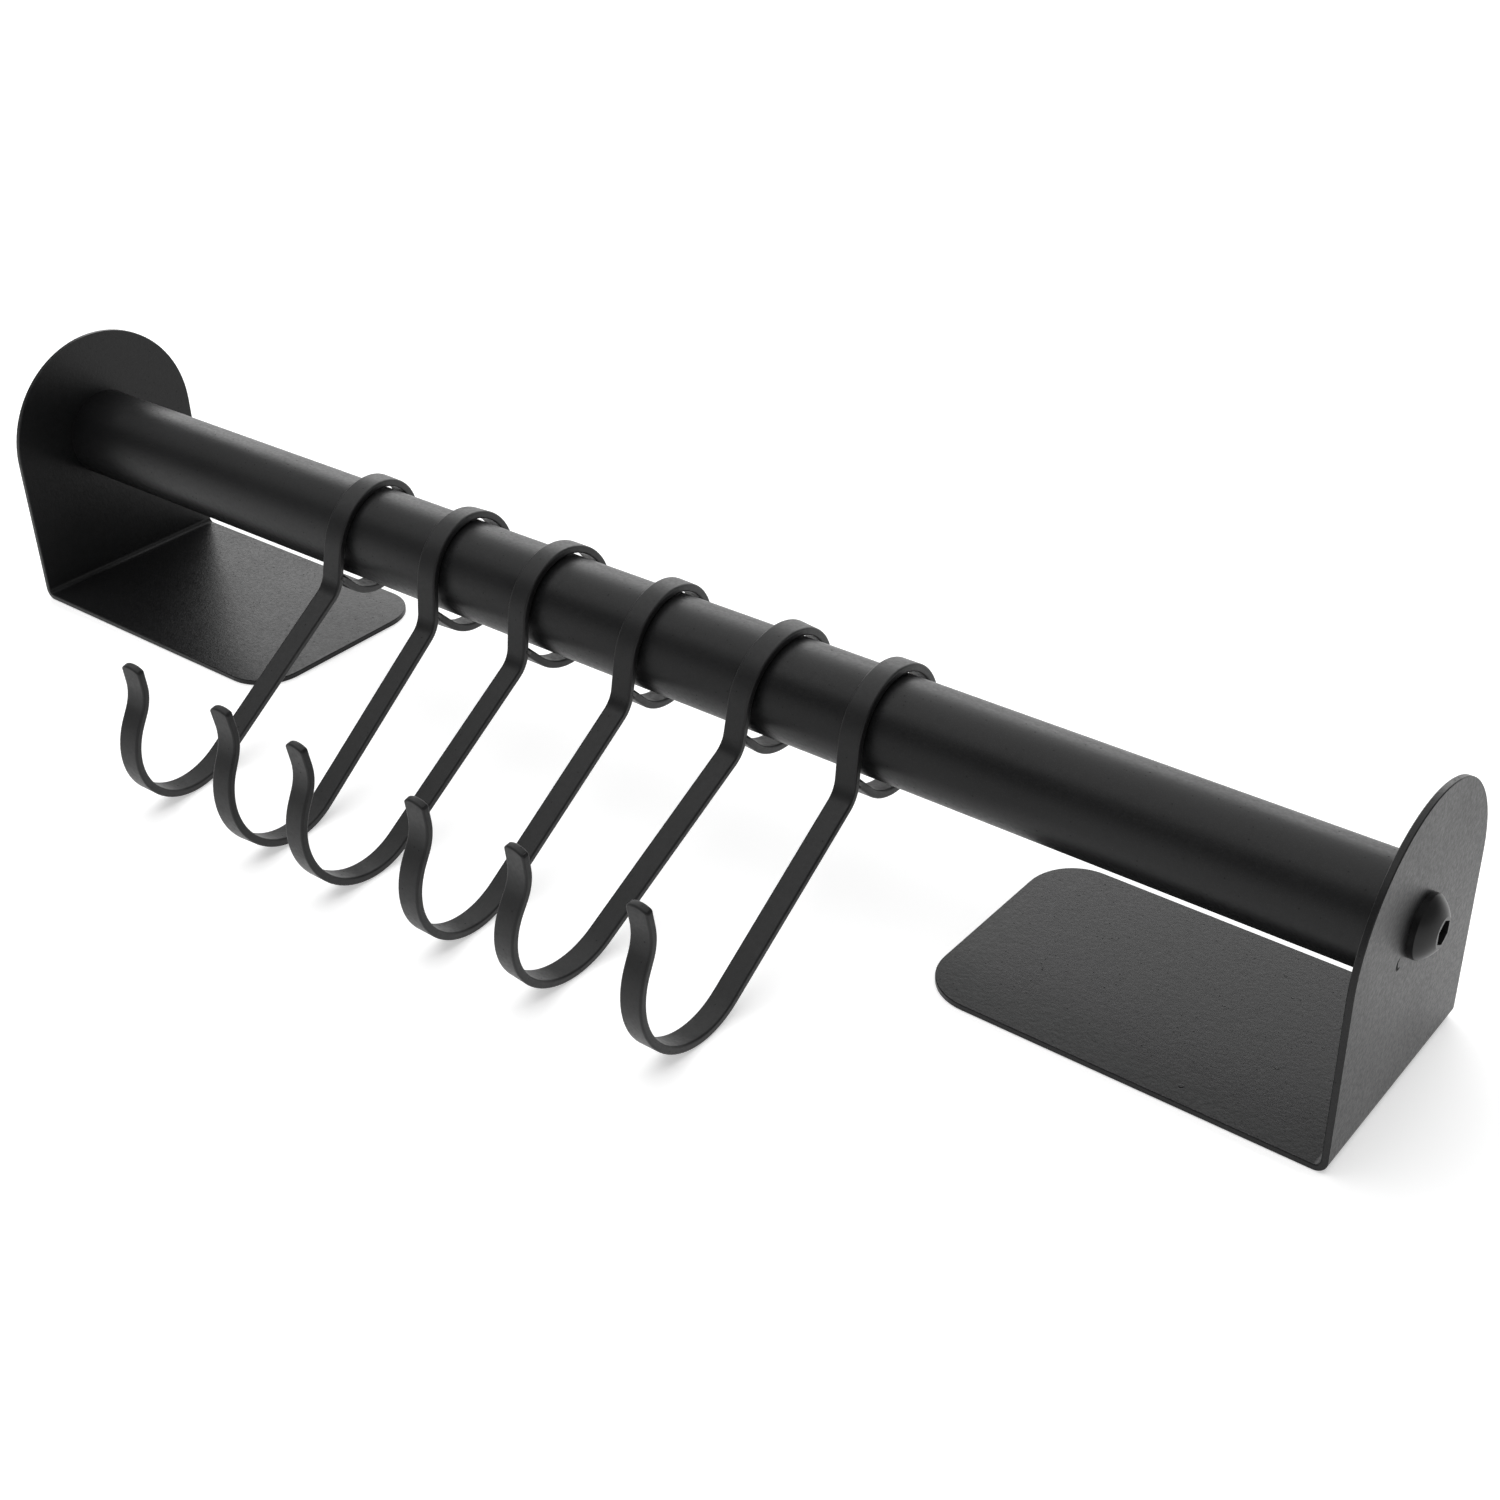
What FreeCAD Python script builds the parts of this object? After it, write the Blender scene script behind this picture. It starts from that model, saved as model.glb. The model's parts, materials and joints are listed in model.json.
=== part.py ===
import FreeCAD, Part
import math
import os

import Sketcher
from FreeCAD import Placement, Rotation, Vector

# Kitchen utensil rail: a tube screwed between two folded end brackets, with six bent hooks on it.
# X runs along the tube, Z is up from the face that the two flanges stand on, the hooks hang at -Y.
# The origin is on that face, half way along the rail and under the middle of the tube.
# Lengths are in millimetres and angles in degrees.

SIZES = {
    # rail and tube
    "rail_length": (410.0, "outer face to outer face of the two brackets"),
    "axis_height": (42.6, "tube axis above the flanges' underside"),
    "tube_radius": (12.5, "outside radius of the tube"),
    "tube_wall": (1.2, "wall of the tube"),
    # folded brackets
    "bracket_width": (60.5, "width of a bracket, and twice the radius of its arched top"),
    "bracket_sheet": (1.5, "sheet thickness"),
    "bend_radius": (3.0, "outside radius of the fold"),
    "flange_length": (97.4, "flange from the bracket's outer face to its free end"),
    "flange_corner": (12.5, "radius of the flange's two free corners"),
    "sheet_edge": (0.2, "broken edge all round a bracket"),
    # end screws and the plugs that they pull on
    "screw_radius": (4.0, "shank radius"),
    "screw_length": (16.0, "shank length under the head"),
    "screw_clearance": (0.25, "radial clearance of the shank in the bracket's hole"),
    "head_radius": (7.0, "screw head radius"),
    "head_height": (4.4, "screw head height"),
    "head_rim": (1.4, "height of the straight rim of the head"),
    "head_flat": (3.4, "radius of the flat round the key socket"),
    "key_width": (5.0, "width of the key socket across its flats"),
    "key_depth": (2.8, "depth of the key socket"),
    "plug_length": (18.0, "length of the plug inside each end of the tube"),
    "plug_fit": (0.05, "radial clearance of the plug in the tube and of the shank in the plug"),
    # hooks, each bent from one flat bar, with radii given to the middle of the bar
    "bar_width": (5.8, "width of the hook's bar, along the rail"),
    "bar_thickness": (2.0, "thickness of the hook's bar"),
    "ring_clearance": (1.5, "ring's inside radius less the tube's outside radius"),
    "ring_gap": (0.5, "smallest gap between ring and tube, where the ring bears"),
    "ring_bearing": (15.0, "where the ring bears, forward of the tube's top"),
    "ring_front": (82.2, "turn of the ring from its top down its front"),
    "ring_back": (226.0, "turn of the ring from its top round its back to the return"),
    "neck_length": (8.0, "straight neck under the ring"),
    "neck_radius": (7.0, "bend from the neck to the stem"),
    "stem_slope": (32.5, "slope of the stem below level"),
    "bowl_radius": (18.8, "bend of the hook's bowl"),
    "bowl_turn": (149.3, "turn of the bowl"),
    "rise_length": (2.7, "straight rise after the bowl"),
    "curl_radius": (12.4, "outward curl of the tip"),
    "curl_turn": (35.7, "turn of that curl"),
    "tip_length": (5.7, "straight end of the tip"),
    "tip_arch": (5.8, "radius of the tip's arched end"),
    "weld_radius": (1.1, "weld bead that closes the ring on the neck"),
    "weld_length": (4.2, "length of that bead across the bar"),
    "bowl_lift": (0.15, "bowl's lowest point above the flanges' underside, before the tilt"),
    # where each hook sits on the tube, how far it is turned about the vertical and how far it tilts
    "hook_1_at": (-89.9, "hook 1 along the rail"),
    "hook_2_at": (-54.3, "hook 2 along the rail"),
    "hook_3_at": (-21.4, "hook 3 along the rail"),
    "hook_4_at": (12.7, "hook 4 along the rail"),
    "hook_5_at": (48.4, "hook 5 along the rail"),
    "hook_6_at": (79.2, "hook 6 along the rail"),
    "hook_1_skew": (6.0, "turn of hook 1"),
    "hook_2_skew": (4.1, "turn of hook 2"),
    "hook_3_skew": (-0.3, "turn of hook 3"),
    "hook_4_skew": (2.5, "turn of hook 4"),
    "hook_5_skew": (-1.5, "turn of hook 5"),
    "hook_6_skew": (0.4, "turn of hook 6"),
    "hook_1_tilt": (6.0, "sideways tilt of hook 1"),
    "hook_2_tilt": (-0.6, "sideways tilt of hook 2"),
    "hook_3_tilt": (0.1, "sideways tilt of hook 3"),
    "hook_4_tilt": (3.9, "sideways tilt of hook 4"),
    "hook_5_tilt": (5.2, "sideways tilt of hook 5"),
    "hook_6_tilt": (0.0, "sideways tilt of hook 6"),
}
HOOKS = ("hook_1", "hook_2", "hook_3", "hook_4", "hook_5", "hook_6")
SPARE = 1.0

doc = FreeCAD.newDocument("utensil_rail")
sheet = doc.addObject("Spreadsheet::Sheet", "Sizes")
for row, (alias, (value, note)) in enumerate(SIZES.items(), start=1):
    sheet.set(f"A{row}", alias)
    sheet.set(f"B{row}", str(value))
    sheet.set(f"C{row}", note)
    sheet.setAlias(f"B{row}", alias)
doc.recompute()


def size(alias):
    """A driving dimension, read back from the sheet."""
    return float(sheet.get(alias))


def linked(text):
    """An expression in which each known alias points to its cell."""
    words = []
    word = ""
    for letter in text + " ":
        if letter.isalnum() or letter == "_":
            word += letter
        else:
            words.append("Sizes." + word if word in SIZES else word)
            words.append(letter)
            word = ""
    return "".join(words).strip()


def new_body(name):
    body = doc.addObject("PartDesign::Body", name)
    body.Label = name
    return body


def new_sketch(body, name, role):
    """A sketch on one of the body's own origin planes."""
    sketch = body.newObject("Sketcher::SketchObject", name)
    plane = [item for item in body.Origin.OriginFeatures if item.Role == role][0]
    sketch.AttachmentSupport = [(plane, "")]
    sketch.MapMode = "FlatFace"
    return sketch


def hold(sketch, name, constraint, expression):
    """A named constraint whose value follows the sheet."""
    index = sketch.addConstraint(constraint)
    sketch.renameConstraint(index, name)
    sketch.setExpression("Constraints." + name, linked(expression))


def place(body, x, height, turn):
    """Put a body on the rail and turn it about the vertical."""
    body.Placement = Placement(Vector(0, 0, 0), Rotation(Vector(0, 0, 1), turn))
    if x:
        body.setExpression("Placement.Base.x", linked(x))
    if height:
        body.setExpression("Placement.Base.z", linked(height))


def hang(body, x, height, skew, tilt):
    """Hang a hook on the tube, tilted sideways on it and then turned about the vertical."""
    tilted = linked(f"rotation(vector(0; 1; 0); {tilt} * 1 deg)")
    skewed = linked(f"rotation(vector(0; 0; 1); {skew} * 1 deg)")
    spot = linked(f"vector({x} * 1 mm; 0 mm; {height} * 1 mm)")
    body.setExpression("Placement", f"placement({spot}; {skewed} * {tilted})")


def outline(sketch, corners):
    """A closed run of straight lines, level or upright, through the given corners."""
    last = len(corners) - 1
    lines = []
    for index, corner in enumerate(corners):
        after = corners[0 if index == last else index + 1]
        line = sketch.addGeometry(Part.LineSegment(Vector(*corner, 0), Vector(*after, 0)), False)
        if abs(corner[1] - after[1]) < 1e-9:
            sketch.addConstraint(Sketcher.Constraint("Horizontal", line))
        elif abs(corner[0] - after[0]) < 1e-9:
            sketch.addConstraint(Sketcher.Constraint("Vertical", line))
        lines.append(line)
    for index, line in enumerate(lines):
        after = lines[0 if index == last else index + 1]
        sketch.addConstraint(Sketcher.Constraint("Coincident", line, 2, after, 1))
    return lines


# Tube

def make_tube():
    body = new_body("tube")
    sketch = new_sketch(body, "tube_section", "YZ_Plane")
    radii = (("outside", "tube_radius"), ("inside", "tube_radius - tube_wall"))
    for name, expression in radii:
        start = size("tube_radius") - (size("tube_wall") if name == "inside" else 0)
        circle = sketch.addGeometry(Part.Circle(Vector(0, 0, 0), Vector(0, 0, 1), start), False)
        sketch.addConstraint(Sketcher.Constraint("Coincident", circle, 3, -1, 1))
        hold(sketch, name, Sketcher.Constraint("Radius", circle, start), expression)
    pad = body.newObject("PartDesign::Pad", "tube_length")
    pad.Profile = sketch
    pad.SideType = "Symmetric"
    pad.setExpression("Length", linked("rail_length - 2 * bracket_sheet"))
    place(body, "", "axis_height", 0)


# Folded brackets: built with the outer face on the YZ plane and the flange towards -X

def bracket_upright(body):
    half = size("bracket_width") / 2
    bend = size("bend_radius")
    height = size("axis_height")
    sketch = new_sketch(body, body.Name + "_arch", "YZ_Plane")
    foot = sketch.addGeometry(Part.LineSegment(Vector(-half, bend, 0), Vector(half, bend, 0)), False)
    right = sketch.addGeometry(Part.LineSegment(Vector(half, bend, 0), Vector(half, height, 0)), False)
    circle = Part.Circle(Vector(0, height, 0), Vector(0, 0, 1), half)
    top = sketch.addGeometry(Part.ArcOfCircle(circle, 0, math.pi), False)
    left = sketch.addGeometry(Part.LineSegment(Vector(-half, height, 0), Vector(-half, bend, 0)), False)
    sketch.addConstraint(Sketcher.Constraint("Coincident", foot, 2, right, 1))
    sketch.addConstraint(Sketcher.Constraint("Tangent", right, 2, top, 1))
    sketch.addConstraint(Sketcher.Constraint("Tangent", top, 2, left, 1))
    sketch.addConstraint(Sketcher.Constraint("Coincident", left, 2, foot, 1))
    sketch.addConstraint(Sketcher.Constraint("Horizontal", foot))
    sketch.addConstraint(Sketcher.Constraint("Vertical", right))
    sketch.addConstraint(Sketcher.Constraint("PointOnObject", top, 3, -2))
    hold(sketch, "arch", Sketcher.Constraint("Radius", top, half), "bracket_width / 2")
    hold(sketch, "axis", Sketcher.Constraint("DistanceY", -1, 1, top, 3, height), "axis_height")
    hold(sketch, "bend", Sketcher.Constraint("DistanceY", -1, 1, foot, 1, bend), "bend_radius")
    pad = body.newObject("PartDesign::Pad", body.Name + "_upright")
    pad.Profile = sketch
    pad.Reversed = True
    pad.setExpression("Length", linked("bracket_sheet"))
    return pad


def bracket_flange(body):
    length = size("flange_length")
    bend = size("bend_radius")
    wall = size("bracket_sheet")
    sketch = new_sketch(body, body.Name + "_fold", "XZ_Plane")
    outer_circle = Part.Circle(Vector(-bend, bend, 0), Vector(0, 0, 1), bend)
    inner_circle = Part.Circle(Vector(-bend, bend, 0), Vector(0, 0, 1), bend - wall)
    under = sketch.addGeometry(Part.LineSegment(Vector(-length, 0, 0), Vector(-bend, 0, 0)), False)
    outer = sketch.addGeometry(Part.ArcOfCircle(outer_circle, -math.pi / 2, 0), False)
    joint = sketch.addGeometry(Part.LineSegment(Vector(0, bend, 0), Vector(-wall, bend, 0)), False)
    inner = sketch.addGeometry(Part.ArcOfCircle(inner_circle, -math.pi / 2, 0), False)
    upper = sketch.addGeometry(Part.LineSegment(Vector(-bend, wall, 0), Vector(-length, wall, 0)), False)
    end = sketch.addGeometry(Part.LineSegment(Vector(-length, wall, 0), Vector(-length, 0, 0)), False)
    sketch.addConstraint(Sketcher.Constraint("Tangent", under, 2, outer, 1))
    sketch.addConstraint(Sketcher.Constraint("Coincident", outer, 2, joint, 1))
    sketch.addConstraint(Sketcher.Constraint("Coincident", joint, 2, inner, 2))
    sketch.addConstraint(Sketcher.Constraint("Tangent", inner, 1, upper, 1))
    sketch.addConstraint(Sketcher.Constraint("Coincident", upper, 2, end, 1))
    sketch.addConstraint(Sketcher.Constraint("Coincident", end, 2, under, 1))
    sketch.addConstraint(Sketcher.Constraint("Coincident", outer, 3, inner, 3))
    sketch.addConstraint(Sketcher.Constraint("Horizontal", under))
    sketch.addConstraint(Sketcher.Constraint("Horizontal", joint))
    sketch.addConstraint(Sketcher.Constraint("Vertical", end))
    sketch.addConstraint(Sketcher.Constraint("PointOnObject", under, 1, -1))
    sketch.addConstraint(Sketcher.Constraint("PointOnObject", outer, 2, -2))
    hold(sketch, "bend", Sketcher.Constraint("Radius", outer, bend), "bend_radius")
    hold(sketch, "sheet", Sketcher.Constraint("Radius", inner, bend - wall), "bend_radius - bracket_sheet")
    hold(sketch, "reach", Sketcher.Constraint("DistanceX", under, 1, -1, 1, length), "flange_length")
    pad = body.newObject("PartDesign::Pad", body.Name + "_flange")
    pad.Profile = sketch
    pad.SideType = "Symmetric"
    pad.setExpression("Length", linked("bracket_width"))
    return pad


def bracket_hole(body):
    height = size("axis_height")
    radius = size("screw_radius") + size("screw_clearance")
    sketch = new_sketch(body, body.Name + "_hole_place", "YZ_Plane")
    circle = sketch.addGeometry(Part.Circle(Vector(0, height, 0), Vector(0, 0, 1), radius), False)
    sketch.addConstraint(Sketcher.Constraint("PointOnObject", circle, 3, -2))
    hold(sketch, "axis", Sketcher.Constraint("DistanceY", -1, 1, circle, 3, height), "axis_height")
    hold(sketch, "hole", Sketcher.Constraint("Radius", circle, radius), "screw_radius + screw_clearance")
    pocket = body.newObject("PartDesign::Pocket", body.Name + "_hole")
    pocket.Profile = sketch
    pocket.setExpression("Length", linked("bracket_sheet") + " + 1")
    return pocket


def dressed(body, base, kind, name, edges, expression):
    """A fillet or a chamfer on the edges of the base that the given test picks."""
    doc.recompute()
    picked = [f"Edge{n}" for n, edge in enumerate(base.Shape.Edges, start=1) if edges(edge)]
    feature = body.newObject("PartDesign::" + kind, name)
    feature.Base = (base, picked)
    feature.setExpression("Radius" if kind == "Fillet" else "Size", linked(expression))
    return feature


def make_bracket(name, x, turn):
    body = new_body(name)
    bracket_upright(body)
    flange = bracket_flange(body)
    end = -size("flange_length")
    wall = size("bracket_sheet")

    def free_corner(edge):
        box = edge.BoundBox
        return box.XMax < end + 1e-3 and abs(box.ZLength - wall) < 1e-3

    corners = dressed(body, flange, "Fillet", name + "_corners", free_corner, "flange_corner")

    def rim(edge):
        return is_sharp(edge, corners.Shape.ancestorsOfType(edge, Part.Face))

    dressed(body, corners, "Chamfer", name + "_edges", rim, "sheet_edge")
    doc.recompute()
    bracket_hole(body)
    place(body, x, "", turn)


def is_sharp(edge, faces):
    """Whether the two faces meet at an angle along the edge."""
    if len(faces) != 2:
        return False
    middle = edge.valueAt((edge.FirstParameter + edge.LastParameter) / 2)
    normals = []
    for face in faces:
        u, v = face.Surface.parameter(middle)
        normals.append(face.normalAt(u, v))
    return normals[0].getAngle(normals[1]) > 0.5


# Screws: built with the underside of the head on the YZ plane and the shank towards -X

def make_screw(name, x, turn):
    body = new_body(name)
    shank = size("screw_radius")
    length = size("screw_length")
    radius = size("head_radius")
    tall = size("head_height")
    rim = size("head_rim")
    flat = size("head_flat")
    sketch = new_sketch(body, name + "_profile", "XY_Plane")

    def line(start, end):
        return sketch.addGeometry(Part.LineSegment(Vector(*start, 0), Vector(*end, 0)), False)

    axis = line((-length, 0), (tall, 0))
    top = line((tall, 0), (tall, flat))
    centre = Vector(dome_centre(rim, tall, radius, flat), 0, 0)
    reach = math.hypot(tall - centre.x, flat)
    circle = Part.Circle(centre, Vector(0, 0, 1), reach)
    begin = math.atan2(flat, tall - centre.x)
    end = math.atan2(radius, rim - centre.x)
    dome = sketch.addGeometry(Part.ArcOfCircle(circle, begin, end), False)
    side = line((rim, radius), (0, radius))
    under = line((0, radius), (0, shank))
    body_line = line((0, shank), (-length, shank))
    tail = line((-length, shank), (-length, 0))
    chain = (axis, top, dome, side, under, body_line, tail, axis)
    for first, second in zip(chain[:-1], chain[1:]):
        sketch.addConstraint(Sketcher.Constraint("Coincident", first, 2, second, 1))
    for level in (side, body_line, axis):
        sketch.addConstraint(Sketcher.Constraint("Horizontal", level))
    for upright in (top, under, tail):
        sketch.addConstraint(Sketcher.Constraint("Vertical", upright))
    sketch.addConstraint(Sketcher.Constraint("PointOnObject", axis, 1, -1))
    sketch.addConstraint(Sketcher.Constraint("PointOnObject", dome, 3, -1))
    sketch.addConstraint(Sketcher.Constraint("PointOnObject", under, 1, -2))
    hold(sketch, "height", Sketcher.Constraint("DistanceX", -1, 1, top, 1, tall), "head_height")
    hold(sketch, "flat", Sketcher.Constraint("DistanceY", top, 1, top, 2, flat), "head_flat")
    hold(sketch, "rim", Sketcher.Constraint("DistanceX", side, 2, side, 1, rim), "head_rim")
    hold(sketch, "head", Sketcher.Constraint("DistanceY", -1, 1, under, 1, radius), "head_radius")
    hold(sketch, "shank", Sketcher.Constraint("DistanceY", -1, 1, under, 2, shank), "screw_radius")
    hold(sketch, "length", Sketcher.Constraint("DistanceX", tail, 1, -1, 1, length), "screw_length")
    turned = body.newObject("PartDesign::Revolution", name + "_turned")
    turned.Profile = sketch
    turned.ReferenceAxis = (sketch, ["H_Axis"])
    turned.Angle = 360
    key_socket(body, name)
    place(body, x, "axis_height", turn)


def dome_centre(rim, tall, radius, flat):
    """Where on the axis the centre of a dome lies that runs from the flat's rim to the head's rim."""
    return (tall ** 2 + flat ** 2 - rim ** 2 - radius ** 2) / (2 * (tall - rim))


def key_socket(body, name):
    """Six-sided socket, cut inward from the top of the head."""
    corner = size("key_width") / math.sqrt(3)
    sketch = new_sketch(body, name + "_key", "YZ_Plane")
    sketch.AttachmentOffset = Placement(Vector(0, 0, size("head_height")), Rotation())
    sketch.setExpression("AttachmentOffset.Base.z", linked("head_height"))
    turns = [math.pi / 2 + math.pi / 3 * k for k in range(6)]
    points = [Vector(corner * math.cos(turn), corner * math.sin(turn), 0) for turn in turns]
    sides = []
    for k in range(6):
        sides.append(sketch.addGeometry(Part.LineSegment(points[k], points[(k + 1) % 6]), False))
    circle = sketch.addGeometry(Part.Circle(Vector(0, 0, 0), Vector(0, 0, 1), corner), True)
    for k in range(6):
        sketch.addConstraint(Sketcher.Constraint("Coincident", sides[k], 2, sides[(k + 1) % 6], 1))
        sketch.addConstraint(Sketcher.Constraint("PointOnObject", sides[k], 1, circle))
    for k in range(5):
        sketch.addConstraint(Sketcher.Constraint("Equal", sides[k], sides[k + 1]))
    sketch.addConstraint(Sketcher.Constraint("Coincident", circle, 3, -1, 1))
    sketch.addConstraint(Sketcher.Constraint("PointOnObject", sides[0], 1, -2))
    hold(sketch, "key", Sketcher.Constraint("Radius", circle, corner), "key_width / sqrt(3)")
    pocket = body.newObject("PartDesign::Pocket", name + "_socket")
    pocket.Profile = sketch
    pocket.setExpression("Length", linked("key_depth"))
    return pocket


# Threaded plugs: built with the outer end on the YZ plane and the body towards -X

def make_plug(name, x, turn):
    body = new_body(name)
    inner = size("screw_radius") + size("plug_fit")
    outer = size("tube_radius") - size("tube_wall") - size("plug_fit")
    length = size("plug_length")
    sketch = new_sketch(body, name + "_profile", "XY_Plane")
    bore, face, side, back = outline(sketch, [(-length, inner), (0, inner), (0, outer), (-length, outer)])
    sketch.addConstraint(Sketcher.Constraint("PointOnObject", bore, 2, -2))
    hold(sketch, "length", Sketcher.Constraint("DistanceX", bore, 1, bore, 2, length), "plug_length")
    hold(sketch, "bore", Sketcher.Constraint("DistanceY", -1, 1, bore, 2, inner), "screw_radius + plug_fit")
    outer_text = "tube_radius - tube_wall - plug_fit"
    hold(sketch, "outside", Sketcher.Constraint("DistanceY", -1, 1, side, 1, outer), outer_text)
    turned = body.newObject("PartDesign::Revolution", name + "_turned")
    turned.Profile = sketch
    turned.ReferenceAxis = (sketch, ["H_Axis"])
    turned.Angle = 360
    place(body, x, "axis_height", turn)


# Hooks: a flat bar swept along two bent paths that both start at the top of the ring.
# The paths lie in the YZ plane, with the tube's axis at the origin.

class BentPath:
    """A run of tangent lines and arcs in a sketch, each held by its own sizes."""

    def __init__(self, sketch, start, heading, construction=False):
        self.sketch = sketch
        self.point = start
        self.heading = heading
        self.construction = construction
        self.last = None

    def join(self, item, start):
        if self.last is not None:
            self.sketch.addConstraint(Sketcher.Constraint("Tangent", *self.last, item, start))

    def arc(self, name, radius, turn, radius_text, turn_text):
        """Turn through the given angle, to the left where it is positive."""
        side = 1 if turn > 0 else -1
        facing = math.radians(self.heading + 90 * side)
        centre = self.point + Vector(math.cos(facing), math.sin(facing), 0) * radius
        begin = math.radians(self.heading - 90 * side)
        end = begin + math.radians(turn)
        low, high = (begin, end) if side > 0 else (end, begin)
        circle = Part.Circle(centre, Vector(0, 0, 1), radius)
        item = self.sketch.addGeometry(Part.ArcOfCircle(circle, low, high), self.construction)
        first, second = (1, 2) if side > 0 else (2, 1)
        self.join(item, first)
        if radius_text:
            radius_hold = Sketcher.Constraint("Radius", item, radius)
            hold(self.sketch, name + "_radius", radius_hold, radius_text)
        sweep = Sketcher.Constraint("Angle", item, math.radians(abs(turn)))
        hold(self.sketch, name + "_turn", sweep, turn_text + " * 1 deg")
        self.point = centre + Vector(math.cos(end), math.sin(end), 0) * radius
        self.heading += turn
        self.last = (item, second)
        return item, first

    def line(self, name, length, length_text):
        along = Vector(math.cos(math.radians(self.heading)), math.sin(math.radians(self.heading)), 0)
        after = self.point + along * length
        item = self.sketch.addGeometry(Part.LineSegment(self.point, after), self.construction)
        self.join(item, 1)
        if length_text:
            hold(self.sketch, name, Sketcher.Constraint("Distance", item, length), length_text)
        self.point = after
        self.last = (item, 2)
        return item


def ring_centre():
    offset = size("ring_clearance") - size("ring_gap")
    lean = math.radians(size("ring_bearing"))
    return Vector(offset * math.sin(lean), -offset * math.cos(lean), 0)


def ring_radius():
    return size("tube_radius") + size("ring_clearance") + size("bar_thickness") / 2


RADIUS_TEXT = "tube_radius + ring_clearance + bar_thickness / 2"
OFFSET_TEXT = "(ring_clearance - ring_gap)"
CENTRE_Y_TEXT = OFFSET_TEXT + " * sin(ring_bearing * 1 deg)"
CENTRE_Z_TEXT = OFFSET_TEXT + " * cos(ring_bearing * 1 deg)"


def hold_ring(sketch, arc, start):
    """Tie the ring's arc to the tube's axis, with the path's start at the top of the ring."""
    centre = ring_centre()
    sketch.addConstraint(Sketcher.Constraint("Vertical", arc, 3, arc, start))
    hold(sketch, "centre_y", Sketcher.Constraint("DistanceX", -1, 1, arc, 3, centre.x), CENTRE_Y_TEXT)
    hold(sketch, "centre_z", Sketcher.Constraint("DistanceY", arc, 3, -1, 1, -centre.y), CENTRE_Z_TEXT)


def front_path(body):
    """Down the front of the ring, along the neck and stem, round the bowl and out at the tip."""
    sketch = new_sketch(body, body.Name + "_front_path", "YZ_Plane")
    bowl_centre = size("bowl_lift") + size("bowl_radius") + size("bar_thickness") / 2 - size("axis_height")
    path = BentPath(sketch, ring_centre() + Vector(0, ring_radius(), 0), 180.0)
    ring, start = path.arc("ring", ring_radius(), size("ring_front"), RADIUS_TEXT, "ring_front")
    hold_ring(sketch, ring, start)
    path.line("neck", size("neck_length"), "neck_length")
    neck_turn = size("ring_front") - size("stem_slope")
    path.arc("neck", size("neck_radius"), -neck_turn, "neck_radius", "(ring_front - stem_slope)")
    slope = math.radians(size("stem_slope"))
    foot = bowl_centre - size("bowl_radius") * math.cos(slope)
    path.line("stem", (path.point.y - foot) / math.sin(slope), "")
    bowl, _ = path.arc("bowl", size("bowl_radius"), -size("bowl_turn"), "bowl_radius", "bowl_turn")
    low_text = "axis_height - bowl_lift - bowl_radius - bar_thickness / 2"
    low_hold = Sketcher.Constraint("DistanceY", bowl, 3, -1, 1, -bowl_centre)
    hold(sketch, "bowl_rests", low_hold, low_text)
    path.line("rise", size("rise_length"), "rise_length")
    path.arc("curl", size("curl_radius"), size("curl_turn"), "curl_radius", "curl_turn")
    path.line("tip", size("tip_length"), "tip_length")
    measure_end(sketch, path)
    return sketch, path


def measure_end(sketch, path):
    """Reference constraints that read back where the path ends."""
    for name, kind, value in (("end_y", "DistanceX", path.point.x), ("end_z", "DistanceY", path.point.y)):
        index = sketch.addConstraint(Sketcher.Constraint(kind, -1, 1, *path.last, value))
        sketch.setDriving(index, False)
        sketch.renameConstraint(index, name)


def back_path(body):
    """Round the back of the ring and straight up to the middle of the neck, where the bar is welded."""
    sketch = new_sketch(body, body.Name + "_back_path", "YZ_Plane")
    top = ring_centre() + Vector(0, ring_radius(), 0)
    path = BentPath(sketch, top, 0.0)
    ring, start = path.arc("ring", ring_radius(), -size("ring_back"), RADIUS_TEXT, "ring_back")
    hold_ring(sketch, ring, start)
    path.line("return", ring_radius() / 2, "")
    neck = BentPath(sketch, top, 180.0, construction=True)
    front, front_start = neck.arc("front", ring_radius(), size("ring_front"), "", "ring_front")
    sketch.addConstraint(Sketcher.Constraint("Coincident", front, 3, ring, 3))
    sketch.addConstraint(Sketcher.Constraint("Coincident", front, front_start, ring, start))
    middle = neck.line("neck", size("neck_length"), "neck_length")
    sketch.addConstraint(Sketcher.Constraint("PointOnObject", *path.last, middle))
    measure_end(sketch, path)
    return sketch, path


def bar_section(body):
    """The flat bar's section, upright through the top of the ring."""
    wide = size("bar_width") / 2
    low = ring_centre().y + ring_radius() - size("bar_thickness") / 2
    high = low + size("bar_thickness")
    sketch = new_sketch(body, body.Name + "_section", "XZ_Plane")
    sketch.AttachmentOffset = Placement(Vector(0, 0, -ring_centre().x), Rotation())
    sketch.setExpression("AttachmentOffset.Base.z", linked("-" + CENTRE_Y_TEXT))
    right, top, left, bottom = outline(sketch, [(wide, low), (wide, high), (-wide, high), (-wide, low)])
    hold(sketch, "half", Sketcher.Constraint("DistanceX", -1, 1, right, 1, wide), "bar_width / 2")
    hold(sketch, "width", Sketcher.Constraint("DistanceX", left, 1, right, 1, 2 * wide), "bar_width")
    thick = size("bar_thickness")
    hold(sketch, "thickness", Sketcher.Constraint("DistanceY", bottom, 1, top, 1, thick), "bar_thickness")
    top_text = RADIUS_TEXT + " - " + CENTRE_Z_TEXT + " + bar_thickness / 2"
    hold(sketch, "top", Sketcher.Constraint("DistanceY", -1, 1, top, 1, high), top_text)
    return sketch


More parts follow.
